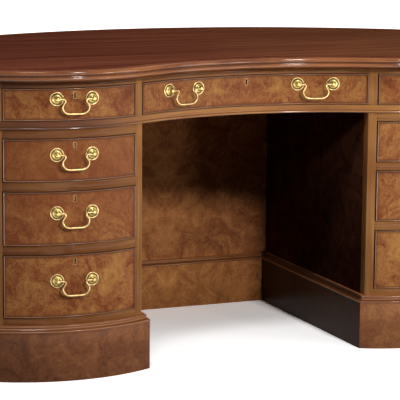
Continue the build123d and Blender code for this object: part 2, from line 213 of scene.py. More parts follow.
class Finish(Nodes):
    # the nodes of a material, or of the world
    def __init__(self, name, kind="materials"):
        self.owner = getattr(bpy.data, kind).new(name)
        self.owner.use_nodes = True
        super().__init__(self.owner.node_tree)

    def place(self):
        return self.node("ShaderNodeTexCoord", output="Object")

    def uv(self):
        return self.node("ShaderNodeTexCoord", output="UV")

    def parts(self, vector):
        split = self.node("ShaderNodeSeparateXYZ", values=[vector])
        return [Feed(self, part) for part in split.socket.node.outputs]

    def join(self, x, y, z):
        return self.node("ShaderNodeCombineXYZ", values=[x, y, z])

    def noise(self, vector, scale, detail=3.0, roughness=0.5, distortion=0.0):
        values = {"Vector": vector, "Scale": scale, "Detail": detail, "Roughness": roughness}
        values["Distortion"] = distortion
        return self.node("ShaderNodeTexNoise", values=values)

    def grain(self, along, across, third, repeats, detail, roughness=0.5):
        # noise drawn out along the grain; repeats to the metre, along and across
        spot = self.join(along * repeats[0], across * repeats[1], third)
        return self.noise(spot, 1.0, detail, roughness)

    def ramp(self, amount, places, colours):
        return self.node("ShaderNodeValToRGB", {"stops": list(zip(places, colours))}, [amount])

    def between(self, amount, low, high):
        # 0 below low, 1 above high
        settings = {"interpolation_type": "SMOOTHSTEP"}
        return self.node("ShaderNodeMapRange", settings, [amount, low, high])

    def within(self, amount, low, high):
        return (amount > low) * (amount < high)

    def ring(self, amount, start, risen, falling, end):
        return self.between(amount, start, risen) * (1 - self.between(amount, falling, end))

    def mix(self, amount, first, second):
        values = {0: amount, 6: first, 7: second}
        return self.node("ShaderNodeMix", {"data_type": "RGBA"}, values, output=2)

    def bump(self, height, strength, distance):
        values = {"Height": height, "Strength": strength, "Distance": distance}
        return self.node("ShaderNodeBump", values=values)

    def wear(self, size):
        # 1 on an outer or inner edge, 0 on the flat
        rounded = self.node("ShaderNodeBevel", values={"Radius": size}, output="Normal")
        flat = self.node("ShaderNodeNewGeometry", output="Normal")
        settings = {"operation": "DOT_PRODUCT"}
        agree = self.node("ShaderNodeVectorMath", settings, [rounded, flat], output="Value")
        return self.between(1 - agree, 0.0, 0.12)

    def seenStraight(self):
        # 1 for what the camera sees, also in metal and through glass
        seen = ("Is Camera Ray", "Is Glossy Ray", "Is Transmission Ray")
        straight, mirrored, through = [self.node("ShaderNodeLightPath", output=ray) for ray in seen]
        return self.between(straight + mirrored + through, 0.0, 1.0)

    def shader(self, colour, roughness, look, normal, polish=0.0, metal=0.0):
        values = {
            "Base Color": colour,
            "Metallic": metal,
            "Roughness": roughness,
            "Specular IOR Level": look["sheen"],
            "Coat Weight": polish,
            "Coat Roughness": look.get("polishGloss", 0.2),
        }
        if normal:
            values["Normal"] = normal
        made = self.node("ShaderNodeBsdfPrincipled", values=values)
        self.node("ShaderNodeOutputMaterial", values=[made])
        return self.owner


def tint(text):
    # a colour written as on screen, as Blender's linear numbers
    levels = [int(text[i : i + 2], 16) / 255 for i in (1, 3, 5)]
    return (*[v / 12.92 if v <= 0.04045 else ((v + 0.055) / 1.055) ** 2.4 for v in levels], 1.0)


topLook = {
    "tones": ("#4C241C", "#6B3829", "#8A5038"),
    # painted light: the field turns lighter towards the right and front, in these tones
    "paintedLightTones": ("#5A3322", "#79492F", "#976040"),
    "toneStops": (0.3, 0.5, 0.72),
    "paintedLightFrom": (-0.5, 1.0),
    "paintedLightTurn": 0.4,
    "pore": "#4C241C",
    "poreLevels": (0.54, 0.7),
    "poreDepth": 0.65,
    # repeats to the metre, along and across the grain
    "warp": (1.2, 3.0),
    "warpBy": 0.05,
    "streaks": (1.6, 62.0),
    "pores": (14.0, 420.0),
    "clouds": (2.2, 4.0),
    "fan": (90.0, 5.0),
    "fanClouds": (7.0, 6.0),
    "rim": (3.0, 260.0),
    "crossband": ("#6B3424", "#94563A"),
    "crossbandStops": (0.32, 0.7),
    # the inlaid line, and the painted shade in the edge's hollow: distance in from the edge, half
    # width, and half width as it fades out
    "stringing": "#1E0C07",
    "stringingPlace": (0.047, 0.0024, 0.0045),
    "hollowPlace": (0.0019, 0.00007, 0.00018),
    "hollowDepth": 0.7,
    "edgeTones": ("#622F17", "#9A5A28"),
    "edgeWidth": (0.0035, 0.0045),
    "worn": "#C08A5C",
    "gloss": 0.5,
    "sheen": 0.0,
    "edgePolish": 0.45,
    "polishGloss": 0.12,
}


def makeTopField():
    look = topLook
    f = Finish("topFieldVeneer")
    x, y, z = f.parts(f.place())
    warp = f.grain(x, y, z, look["warp"], 2.0)
    sway = y + (warp - 0.5) * look["warpBy"]
    streaks = f.grain(x, sway, z, look["streaks"], 6.0, 0.66)
    pores = f.grain(x, sway, z, look["pores"], 3.0, 0.6)
    clouds = f.grain(x, y, z, look["clouds"], 3.0)
    grain = streaks * 0.8 + clouds * 0.2
    colour = f.ramp(grain, look["toneStops"], look["tones"])
    # painted light, lighter towards the right and front
    paintedLightTones = f.ramp(grain, look["toneStops"], look["paintedLightTones"])
    colour = f.mix(f.between(x - y * look["paintedLightTurn"], *look["paintedLightFrom"]), colour, paintedLightTones)
    poreDepth = f.between(pores, *look["poreLevels"]) * look["poreDepth"]
    colour = f.mix(poreDepth, colour, look["pore"])
    relief = f.bump(streaks * 0.4 + pores * 0.6, 0.12, 0.0006)
    return f.shader(colour, look["gloss"] + 0.1 * clouds, look, relief)


def makeTopBorder():
    # the cross-grained band, the dark line inside it and the moulded edge;
    # UV runs along the edge and in from it
    look = topLook
    f = Finish("topBorderVeneer")
    along, inset = f.parts(f.uv())[:2]

    def line(middle, width, fadedWidth):
        return 1 - f.between(abs(inset - middle), width, fadedWidth)

    fan = f.grain(along, inset, 0.0, look["fan"], 5.0, 0.6)
    fanClouds = f.grain(along, inset, 0.0, look["fanClouds"], 2.0)
    cross = f.ramp(fan * 0.7 + fanClouds * 0.3, look["crossbandStops"], look["crossband"])
    rim = f.grain(along, inset, 0.0, look["rim"], 4.0, 0.6)
    edge = f.mix(f.between(rim, 0.3, 0.65), *look["edgeTones"])
    # painted shade: a dark line in the hollow of the moulded edge
    edge = f.mix(line(*look["hollowPlace"]) * look["hollowDepth"], edge, look["stringing"])
    onEdge = 1 - f.between(inset, *look["edgeWidth"])
    colour = f.mix(onEdge, cross, edge)
    colour = f.mix(line(*look["stringingPlace"]), colour, look["stringing"])
    colour = f.mix(f.wear(0.002) * 0.55, colour, look["worn"])
    relief = f.bump(fan * 0.5 + rim * 0.5, 0.15, 0.0006)
    polish = onEdge * look["edgePolish"]
    return f.shader(colour, look["gloss"] + 0.1 * fan, look, relief, polish)


# scale, detail, roughness and warp of each figure in a burl
burlFigure = {
    "warp": (9.0, 3.0, 0.55),
    "warpBy": (0.05, 0.09),
    "patches": (16.0, 4.0, 0.6, 1.2),
    "curl": (62.0, 5.0, 0.62, 2.2),
    "speck": (300.0, 3.0, 0.6),
    "eyes": 34.0,
    "eyeSize": (0.04, 0.15),
    "eyeDepth": 0.25,
}

burlLook = {
    "tones": ("#5C2C17", "#7C4324", "#996338", "#B07C44", "#C89652"),
    "stops": (0.32, 0.43, 0.52, 0.62, 0.75),
    "upperLeftDark": "#7C4324",
    "upperLeftDepth": 0.55,
    "upperLeftPlace": (-0.3, 0.3, 0.5, 0.62),
    # tones towards the edge of a drawer front, and where they lie, in from it
    "border": "#6A3820",
    "borderPlace": (0.00385, 0.011),
    "bead": "#84522E",
    "beadPlace": (0.003, 0.0032),
    # painted shade: a dark line on the bead's outer side and in the gap round the front
    "gapShade": "#1C0E08",
    "gapShadePlace": (0.0004, 0.0013),
    # painted shade in the crease just inside the bead
    "creaseShade": "#34180C",
    "creaseShadePlace": (0.0027, 0.003, 0.0036, 0.0052),
    "facing": (-0.0035, -0.0025),
    "worn": "#B98650",
    "gloss": 0.3,
    "sheen": 0.06,
    "polish": 0.55,
    "polishGloss": 0.12,
}


def makeBurl(name, look):
    # mottled burl: warped patches, tight curly figure and small dark eyes
    f = Finish(name)
    x, y, z = f.parts(f.place())
    half = abs(x)
    spot = f.join(half, y, z)
    warp = f.noise(spot, *burlFigure["warp"]) - 0.5
    acrossBy, upBy = burlFigure["warpBy"]
    warped = f.join(half + warp * acrossBy, y, z + warp * upBy)
    patches = f.noise(warped, *burlFigure["patches"])
    curl = f.noise(warped, *burlFigure["curl"])
    speck = f.noise(spot, *burlFigure["speck"])
    eyes = f.node("ShaderNodeTexVoronoi", values={"Vector": warped, "Scale": burlFigure["eyes"]})
    eye = 1 - f.between(eyes, *burlFigure["eyeSize"])
    # the tones lean with x: partly the veneer's own colour, partly painted light falling from one
    # side
    grain = patches * 0.5 + curl * 0.36 + speck * 0.14 + x * look.get("toneAndLightLean", 0.03)
    colour = f.ramp(grain, look["stops"], look["tones"])
    colour = f.mix(eye * burlFigure["eyeDepth"], colour, look["tones"][0])
    if "upperLeftDark" in look:
        # the left pedestal's upper drawers are darker
        right, fadeLow, fadeHigh, top = look["upperLeftPlace"]
        upperLeftDark = (x < right) * f.between(z, fadeLow, fadeHigh) * (z < top)
        colour = f.mix(upperLeftDark * look["upperLeftDepth"], colour, look["upperLeftDark"])
    if "side" in look:
        # painted shade: the plinth's faces along the kneehole's sides are darker
        shadedSide = f.within(half, *look["sideShadeX"]) * (y < look["sideShadeY"])
        colour = f.mix(shadedSide * look["sideShadeDepth"], colour, look["side"])
    polish = look["polish"]
    if "border" in look:
        # U of the UV is the distance in from the front's edge, and below 0 on its sides and back
        inset = f.parts(f.uv())[0]
        facing = f.between(inset, *look["facing"])

        def outside(place):
            return facing * (1 - f.between(inset, *place))

        colour = f.mix(outside(look["borderPlace"]) * 0.5, colour, look["border"])
        bead = outside(look["beadPlace"])
        colour = f.mix(bead * 0.8, colour, look["bead"])
        # painted shade in the gap round the front and on the bead's outer side, left without coat
        gapShade = outside(look["gapShadePlace"])
        colour = f.mix(gapShade * 0.85, colour, look["gapShade"])
        polish = bead * (1 - gapShade) * look["polish"]
        # painted shade in the crease just inside the bead
        creaseShade = f.ring(inset, *look["creaseShadePlace"])
        colour = f.mix(creaseShade * 0.8, colour, look["creaseShade"])
    colour = f.mix(f.wear(0.0014) * 0.2, colour, look["worn"])
    relief = f.bump(curl * 0.6 + speck * 0.4, 0.1, 0.0005)
    return f.shader(colour, look["gloss"] + 0.14 * curl, look, relief, polish)


plinthLook = {
    "tones": ("#5C3521", "#78492E", "#8F5C39", "#A46E43", "#B6804C"),
    "stops": (0.3, 0.43, 0.54, 0.65, 0.79),
    "toneAndLightLean": 0.12,
    "worn": "#B08458",
    # painted shade on the faces along the kneehole's sides
    "side": "#241712",
    "sideShadeDepth": 0.85,
    "sideShadeX": (0.0, 0.2942),
    "sideShadeY": 0.3,
    "gloss": 0.32,
    "sheen": 0.05,
    "polish": 0.08,
    "polishGloss": 0.2,
}

# the matt burls inside the kneehole
kneeholeLook = {
    "tones": ("#74422A", "#985C38", "#B67646", "#CC8C54", "#DC9E64"),
    "stops": (0.3, 0.42, 0.52, 0.63, 0.77),
    "toneAndLightLean": -0.25,
    "worn": "#A87850",
    "gloss": 0.5,
    "sheen": 0.0,
    "polish": 0.0,
    "polishGloss": 0.3,
}
kneeholePlinthLook = {
    **kneeholeLook,
    "tones": ("#7A4628", "#9C6038", "#B67644", "#CC8C52", "#DA9E60"),
    "toneAndLightLean": -0.15,
    # painted shade on the faces along the kneehole's sides
    "side": "#201410",
    "sideShadeDepth": 0.9,
    "sideShadeX": (0.2934, 0.4),
    "sideShadeY": 0.3,
    "gloss": 0.4,
}
# the kneehole's inner sides: near-black tones that paint the shade they stand in
kneeholeSideShadeLook = {
    **kneeholeLook,
    "tones": ("#2A150E", "#3A2016", "#4A2A1C", "#5A3624", "#6A422C"),
    "toneAndLightLean": 0.03,
    "worn": "#6A4630",
}

straightFigure = {
    "stops": (0.32, 0.5, 0.7),
    "runBack": 0.6,
    # repeats to the metre, along and across the grain
    "sway": (3.0, 6.0),
    "swayBy": 0.02,
    "streaks": (2.6, 130.0),
    "pores": (30.0, 900.0),
    "poreLevels": (0.58, 0.75),
    "poreDepth": 0.4,
}

straightLook = {
    "tones": ("#734422", "#966439", "#B6824D"),
    "pore": "#4E2A16",
    "worn": "#C0905A",
    "rail": "#643418",
    "railDepth": 0.65,
    # the span over which the rails' painted shade on the left fades away
    "paintedLightFrom": (-0.48, -0.25),
    # how far from the middle the inner stiles begin and end, and the outer ones begin
    "stiles": (0.312, 0.332, 0.672),
    "gloss": 0.3,
    "sheen": 0.02,
    "polish": 0.06,
    "polishGloss": 0.14,
}
waistLook = {
    "tones": ("#462413", "#5C331B", "#744626"),
    # painted light: the band turns lighter towards the right, in these tones
    "paintedLightTones": ("#80512E", "#9C683A", "#B4803F"),
    "paintedLightFrom": (-0.5, -0.2),
    "pore": "#3E200E",
    "worn": "#A97C4C",
    "bead": (0.0, 0.0058),
    # the dark line in the hollow is painted shade
    "hollow": (0.0055, 0.0074),
    "gloss": 0.3,
    "sheen": 0.1,
    "polish": 0.7,
    "polishGloss": 0.12,
}
mouldingLook = {
    "tones": ("#6C3D22", "#8C5630", "#A66E40"),
    # painted shade along the kneehole's sides
    "inner": "#2E1A10",
    "innerShadeDepth": 0.92,
    "innerShadeX": (0.2935, 0.3125),
    "innerShadeY": -0.43,
    "pore": "#4E2A16",
    "worn": "#B98656",
    "bead": (0.0, 1.0),
    # the dark line in the hollow is painted shade
    "hollow": (0.1263, 0.1296),
    "gloss": 0.3,
    "sheen": 0.1,
    "polish": 0.45,
    "polishGloss": 0.12,
}
liningLook = {
    "tones": ("#8A6238", "#A97F4E", "#C09A66"),
    "pore": "#6E4A28",
    "worn": "#CBA878",
    "gloss": 0.55,
    "sheen": 0.2,
}
carcaseLook = {
    "tones": ("#7A5632", "#977148", "#AD8A5C"),
    "pore": "#5C3F24",
    "worn": "#BC9A6C",
    "gloss": 0.6,
    "sheen": 0.2,
}


def makeStraight(name, look, turn="along"):
    # straight grain along X, or upright, or with upright stiles among its rails
    figure = straightFigure
    f = Finish(name)
    x, y, z = f.parts(f.place())
    run = x + y * figure["runBack"]
    half = abs(x)
    lengthwise, across = (z, run) if turn == "up" else (run, z)
    if turn == "frame":
        innerStart, innerEnd, outerStart = look["stiles"]
        upright = f.within(half, innerStart, innerEnd) + (half > outerStart)
        lengthwise = run * (1 - upright) + z * upright
        across = z * (1 - upright) + run * upright
    sway = f.grain(lengthwise, across, 0.0, figure["sway"], 2.0)
    bent = across + (sway - 0.5) * figure["swayBy"]
    streaks = f.grain(lengthwise, bent, y * 2.0, figure["streaks"], 5.0, 0.6)
    pores = f.grain(lengthwise, bent, 0.0, figure["pores"], 2.0, 0.6)
    clouds = f.noise(f.place(), 7.0, 3.0)
    grain = streaks * 0.65 + clouds * 0.35
    colour = f.ramp(grain, figure["stops"], look["tones"])
    if turn == "frame":
        # the rails are darker than the stiles, and painted shade makes them darker still on the
        # left
        left = 1 - f.between(x, *look["paintedLightFrom"]) * 0.75
        colour = f.mix((1 - upright) * left * look["railDepth"], colour, look["rail"])
    # painted light: lighter towards the right
    if "paintedLightTones" in look:
        paintedLightTones = f.ramp(grain, figure["stops"], look["paintedLightTones"])
        colour = f.mix(f.between(x, *look["paintedLightFrom"]), colour, paintedLightTones)
    poreDepth = f.between(pores, *figure["poreLevels"]) * figure["poreDepth"]
    colour = f.mix(poreDepth, colour, look["pore"])
    if "inner" in look:
        # painted shade: the length along the kneehole's sides is darker
        inner = f.within(half, *look["innerShadeX"]) * (y > look["innerShadeY"])
        colour = f.mix(inner * look["innerShadeDepth"], colour, look["inner"])
    colour = f.mix(f.wear(0.0012) * 0.3, colour, look["worn"])
    polish = look.get("polish", 0.0)
    if "bead" in look:
        # V is the height on the moulding: the bead is polished, and the hollow is darkened as
        # painted shade
        rise = f.parts(f.uv())[1]
        polish = f.within(rise, *look["bead"]) * polish
        colour = f.mix(f.within(rise, *look["hollow"]) * 0.75, colour, look["pore"])
    relief = f.bump(streaks * 0.5 + pores * 0.5, 0.15, 0.0005)
    return f.shader(colour, look["gloss"] + 0.14 * clouds, look, relief, polish)


brassLook = {
    "bright": "#9E865C",
    "toned": "#80683E",
    "dull": "#5C4420",
    "gloss": 0.26,
    "sheen": 0.5,
    "metal": 1.0,
}
backplateLook = {
    **brassLook,
    "bright": "#A58E66",
    "toned": "#8C744A",
    "dull": "#4E401C",
    # tarnish with painted shade, in the dished ring and at the foot of the post
    "creaseShade": "#463812",
    "dome": "#9A8450",
    # how far from the post's axis the tones begin and end
    "domePlace": (0.0128, 0.014),
    "ringPlace": (0.0108, 0.0125, 0.0135, 0.0146),
    "footPlace": (0.0052, 0.0064, 0.0072, 0.0082),
}
liningBrassLook = {
    **brassLook,
    "bright": "#76583C",
    "toned": "#5E4430",
    "dull": "#302010",
    "gloss": 0.4,
}
# the keyhole's inside: near-black, painted shade
keyholeShadeLook = {
    "bright": "#241610",
    "toned": "#180E0A",
    "dull": "#0C0705",
    "gloss": 0.8,
    "sheen": 0.05,
    "metal": 0.0,
}


def makeBrass(name, look):
    f = Finish(name)
    place = f.place()
    clouds = f.noise(place, 90.0, 3.0)
    fine = f.noise(place, 900.0, 3.0, 0.6)
    colour = f.mix(f.between(clouds, 0.35, 0.75), look["bright"], look["toned"])
    # edges and creases turn dull: tarnish, with painted shade in the creases
    colour = f.mix(f.wear(0.0012) * 0.3, colour, look["dull"])
    if "creaseShade" in look:
        # the dished ring and the foot of the post are darkened, tarnish with painted shade that
        # shapes the turning, and the dome and ball take a separate tone
        reach = f.parts(f.uv())[0]
        colour = f.mix(1 - f.between(reach, *look["domePlace"]), colour, look["dome"])
        dish, foot = f.ring(reach, *look["ringPlace"]), f.ring(reach, *look["footPlace"])
        colour = f.mix(dish * 0.85 + foot * 0.6, colour, look["creaseShade"])
    rough = look["gloss"] + 0.12 * clouds
    return f.shader(colour, rough, look, f.bump(fine, 0.02, 0.0001), metal=look["metal"])


topField = makeTopField()
topBorder = makeTopBorder()
drawerBurl = makeBurl("drawerBurl", burlLook)
waistWood = makeStraight("waistWood", waistLook)
mouldingWood = makeStraight("mouldingWood", mouldingLook)
kneeholeSideShade = makeBurl("kneeholeSidePaintedShade", kneeholeSideShadeLook)
kneeholePlinthBurl = makeBurl("kneeholePlinthBurl", kneeholePlinthLook)
brass = makeBrass("oldBrass", brassLook)
backplateBrass = makeBrass("backplateBrass", backplateLook)
liningBrass = makeBrass("liningBrass", liningBrassLook)
keyholeShadeBrass = makeBrass("keyholeShadeBrass", keyholeShadeLook)
slotFinish = {
    "top_veneer": topBorder,
    "frame_wood": makeStraight("frameWood", straightLook, "frame"),
    "case_veneer": makeStraight("caseVeneer", straightLook, "up"),
    "drawer_veneer": drawerBurl,
    "kneehole_veneer": makeBurl("kneeholeVeneer", kneeholeLook),
    "plinth_veneer": makeBurl("plinthBurl", plinthLook),
    "drawer_lining": makeStraight("liningWood", liningLook),
    "carcase_wood": makeStraight("carcaseWood", carcaseLook, "up"),
    "brass": brass,
}
nodeSlot = {part["node"]: part["material_slot"] for part in frame["record"]["subparts"]}
print("finishes made")


# softened edges and smooth curves for the pieces kept from the frame
edgeLook = {"round": 0.0007, "steps": 2, "bevelAngle": 30, "smoothAngle": 24, "weld": 0.00001}


def makeSmoother():
    # joins the facets of a curved wall, keeps the real corners sharp
    group = bpy.data.node_groups.new("smoothCurves", "GeometryNodeTree")
    for way in ("INPUT", "OUTPUT"):
        group.interface.new_socket("Geometry", in_out=way, socket_type="NodeSocketGeometry")
    g = Nodes(group)
    start = g.node("NodeGroupInput")
    values = {"Geometry": start, "Distance": edgeLook["weld"]}
    weld = g.node("GeometryNodeMergeByDistance", values=values)
    smoothFaces = g.node("GeometryNodeSetShadeSmooth", values=[weld])
    angle = g.node("GeometryNodeInputMeshEdgeAngle", output="Unsigned Angle")
    settings = {"data_type": "FLOAT", "operation": "GREATER_THAN"}
    sharp = g.node("FunctionNodeCompare", settings, [angle, radians(edgeLook["smoothAngle"])])
    values = [smoothFaces, sharp, False]
    smoothEdges = g.node("GeometryNodeSetShadeSmooth", {"domain": "EDGE"}, values)
    g.node("NodeGroupOutput", values=[smoothEdges])
    return group


smoother = makeSmoother()


def addModifier(piece, name, kind, **settings):
    made = piece.modifiers.new(name, kind)
    for key, value in settings.items():
        setattr(made, key, value)


def softenEdges(piece, size):
    look = edgeLook
    addModifier(piece, "joinFacets", "WELD", merge_threshold=look["weld"])
    if size:
        limit = {"limit_method": "ANGLE", "angle_limit": radians(look["bevelAngle"])}
        addModifier(piece, "softEdge", "BEVEL", width=size, segments=look["steps"], **limit)
    addModifier(piece, "smoothCurves", "NODES", node_group=smoother)


for name, piece in frame["nodes"].items():
    finish = slotFinish[nodeSlot[name]]
    if name.endswith("kneehole_side"):
        finish = kneeholeSideShade
    if name == "kneehole_plinth":
        finish = kneeholePlinthBurl
    for materialSlot in piece.material_slots:
        materialSlot.link = "OBJECT"
        materialSlot.material = finish
    plain = name.endswith(("_box", "_brasses", "_bail")) or "inner_case" in name or "shell" in name
    softenEdges(piece, 0 if plain else edgeLook["round"])
print("frame pieces finished")


def addObject(name, data):
    made = bpy.data.objects.new(name, data)
    bpy.context.scene.collection.objects.link(made)
    return made


def newPiece(name, mesh, body, slotName, *replaced):
    piece = addObject(name, mesh)
    if replaced:
        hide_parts(*replaced)
    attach(piece, body)


def makeMesh(bm, name, *finishes, limit=32, flats=()):
    # smooth, apart from the flats and the edges that turn by more than the limit
    bmesh.ops.remove_doubles(bm, verts=bm.verts, dist=0.000001)
    bmesh.ops.recalc_face_normals(bm, faces=bm.faces)
    for face in bm.faces:
        face.smooth = face not in flats
    for edge in bm.edges:
        if len(edge.link_faces) == 2:
            edge.smooth = edge.calc_face_angle(0) < radians(limit)
    mesh = bpy.data.meshes.new(name)
    bm.to_mesh(mesh)
    for finish in finishes:
        mesh.materials.append(finish)
    return mesh


def wallFaces(bm, rings):
    # faces between each ring and the next, closed round; a ring may be one point
    made = []
    for low, high in zip(rings, rings[1:]):
        m, n = len(low), len(high)
        for i in range(max(m, n)):
            corners = (low[i % m], low[(i + 1) % m], high[(i + 1) % n], high[i % n])
            made.append(bm.faces.new(list(dict.fromkeys(corners))))
    return made


def sweepOutline(layerName, sections, kneehole=False):
    # walls round the desk, through sections of distance outwards, height and V
    bm = bmesh.new()
    layer = bm.loops.layers.uv.new(layerName)
    rings = []
    spots = []
    for out, up, v in sections:
        points = outline(out * mm, kneehole)
        rings.append([bm.verts.new((x, y, up)) for x, y, travelled in points])
        along = [travelled for x, y, travelled in points]
        spots.append([(u, v) for u in along + [along[-1] + (along[-1] - along[-2])]])
    faces = iter(wallFaces(bm, rings))
    for low, high in zip(spots, spots[1:]):
        for i in range(len(low) - 1):
            corners = (low[i], low[i + 1], high[i + 1], high[i])
            for loop, uv in zip(next(faces).loops, corners):
                loop[layer].uv = uv
    return bm, rings


# the top: a moulded edge, a cross-grained band, a dark line and a streaky field
topPiece = {
    # outwards from the case in mm, height over the underside in mm
    "edge": [
        (5.6, 0.0), (14.0, 0.5), (20.0, 1.9), (24.2, 4.3), (26.4, 7.2), (26.9, 9.6), (26.6, 12.0),
        (25.4, 14.0), (24.5, 15.4), (24.4, 16.4), (25.2, 17.4), (26.6, 18.7), (27.5, 20.4),
        (27.7, 21.8), (27.4, 24.0), (26.9, 26.2), (25.7, 27.9), (24.2, 28.8), (22.8, 29.0),
    ],
    "bandAndField": (0.0, -10.0, -22.0, -26.0),
    # V of the moulded edge, at its top and what its foot has more
    "edgeV": (0.001, 0.002),
}


def makeTop():
    look = topPiece
    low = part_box("top_board")[0]
    thickness = look["edge"][-1][1]
    first, more = look["edgeV"]
    sections = []
    for out, up in look["edge"] + [(out, thickness) for out in look["bandAndField"]]:
        inset = max(plan["overhang"] - out * mm, 0.0)
        if up < thickness:
            inset = first + more * (thickness - up) / thickness
        sections.append((out, low.z + up * mm, inset))
    bm, rings = sweepOutline("alongAndIn", sections)
    underside = bm.faces.new(rings[0][::-1])
    field = bm.faces.new(rings[-1])
    field.material_index = 1
    mesh = makeMesh(bm, "topBoard", topBorder, topField, limit=30, flats=(underside, field))
    newPiece("topBoard", mesh, "case", "top_veneer", "top_board")


# the waist board: a half-round bead under a flat edge
waistPiece = {
    "edge": [
        (-30.0, 0.0), (0.0, 0.0), (1.4, 0.15), (2.8, 0.75), (3.7, 1.75), (4.0, 2.8), (3.7, 3.9),
        (2.8, 4.85), (1.4, 5.4), (0.5, 5.6), (0.0, 6.0), (0.0, 20.0), (-0.3, 20.4), (-30.0, 20.5),
    ],
}


def makeWaist():
    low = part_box("waist_board")[0]
    sections = [(out, low.z + up * mm, up * mm) for out, up in waistPiece["edge"]]
    bm, rings = sweepOutline("alongAndIn", sections)
    flats = [bm.faces.new(rings[0][::-1]), bm.faces.new(rings[-1])]
    mesh = makeMesh(bm, "waistBoard", waistWood, limit=30, flats=flats)
    newPiece("waistBoard", mesh, "case", "frame_wood", "waist_board")


# the plinth's upper edge: two beads with a cove between them
mouldingPiece = {
    # outwards from the case and height over the floor, in mm
    "edge": [
        (15.0, 121.2), (18.1, 121.3), (19.0, 121.7), (19.6, 122.6), (19.8, 123.8), (19.6, 125.0),
        (19.0, 125.9), (18.1, 126.4), (17.4, 126.5), (15.6, 127.0), (12.9, 128.7), (10.9, 130.7),
        (9.9, 132.6), (10.1, 133.0), (11.0, 133.5), (11.5, 134.5), (11.6, 135.6), (11.3, 136.8),
        (10.5, 137.8), (9.4, 138.3), (7.0, 138.4), (7.0, 130.0),
    ],
}


def makeMoulding():
    edge = mouldingPiece["edge"]
    sections = [(out, up * mm, up * mm) for out, up in edge + edge[:1]]
    bm = sweepOutline("alongAndUp", sections, kneehole=True)[0]
    mesh = makeMesh(bm, "plinthMoulding", mouldingWood, limit=35)
    newPiece("plinthMoulding", mesh, "case", "plinth_veneer")


# drawer fronts: a burl field inside a half-round cockbead, with a keyhole and a lock recess
frontPiece = {
    "thickness": 0.02,
    "beadWidth": 0.003,
    "beadRise": 0.0025,
    # lines of the mesh, in from the edge, closest over the bead, and then one for each step
    "insets": (
        0.0, 0.00012, 0.0005, 0.001, 0.0015, 0.002, 0.0025, 0.0028, 0.0029, 0.003, 0.0037,
        0.008, 0.012,
    ),
    "step": 0.012,
    "flat": 0.085,
    "keyDrop": 0.0185,
    "gap": 0.0012,
    "lock": (0.05, 0.038, 0.011),
    "lockSink": 0.002,
    # how far the cuts run on: over and behind the recess, behind and before the keyhole
    "overcut": (0.05, 0.08, 0.001, 0.02),
}


def beadRise(inset):
    # how far the surface stands out, from its distance in from the edge
    look = frontPiece
    nose = look["beadWidth"] / 2
    if inset >= look["beadWidth"] - 0.00001:
        return 0.0
    return look["beadRise"] - nose + sqrt(max(nose**2 - (inset - nose) ** 2, 0.0))


def spaced(low, high):
    insets = frontPiece["insets"]
    first, last = low + insets[-1], high - insets[-1]
    count = max(round((last - first) / frontPiece["step"]), 2)
    middle = [first + (last - first) * i / count for i in range(1, count)]
    return [low + d for d in insets] + middle + [high - d for d in reversed(insets)]


def backOfFront(low, high, x):
    # the back of a front is in flats, where the drawer's boards meet it
    count = 2 * round((high - low) / (2 * frontPiece["flat"]))
    share = (x - low) / (high - low) * count
    first = min(int(share), count - 1)
    ends = [low + (high - low) * (first + i) / count for i in (0, 1)]
    levels = [frontY(end, -frontPiece["thickness"]) for end in ends]
    return levels[0] + (levels[1] - levels[0]) * (share - first)


# a round eye over a slot that spreads to its foot, in degrees and in radii of the eye
keyholeShape = {"eye": (-52, 284), "steps": 20, "neck": (0.6, 1.25), "foot": 0.96}


def keyholeOutline(width, height):
    look = keyholeShape
    eye = width / 2
    eyeY = height / 2 - eye
    start, turn = look["eye"]
    points = []
    for i in range(look["steps"] + 1):
        angle = radians(start + turn * i / look["steps"])
        points.append((eye * cos(angle), eyeY + eye * sin(angle)))
    foot = eye * look["foot"]
    neckX, neckY = eye * look["neck"][0], eyeY - eye * look["neck"][1]
    return points + [(-neckX, neckY), (-foot, -height / 2), (foot, -height / 2), (neckX, neckY)]


def standing(place, across, normal):
    turn = Matrix((across, upwards, normal)).transposed().to_4x4()
    return Matrix.Translation(place) @ turn


def facePlace(x, z):
    # local X across, Y up and Z out of the drawer face
    normal = frontNormal(x)
    return standing((x, frontY(x), z), upwards.cross(normal), normal)


def prismPiece(points, low, high, place):
    bm = bmesh.new()
    rings = [[bm.verts.new((x, y, level)) for x, y in points] for level in (low, high)]
    bm.faces.new(rings[0][::-1])
    bm.faces.new(rings[1])
    wallFaces(bm, rings)
    bmesh.ops.recalc_face_normals(bm, faces=bm.faces)
    bm.transform(place)
    mesh = bpy.data.meshes.new("cutter")
    bm.to_mesh(mesh)
    return addObject("cutter", mesh)


def cutAway(piece, cutters):
    for cutter in cutters:
        addModifier(piece, "cut", "BOOLEAN", operation="DIFFERENCE", solver="EXACT", object=cutter)
    graph = bpy.context.evaluated_depsgraph_get()
    mesh = bpy.data.meshes.new_from_object(piece.evaluated_get(graph))
    piece.modifiers.clear()
    piece.data = mesh
    for cutter in cutters:
        bpy.data.objects.remove(cutter)


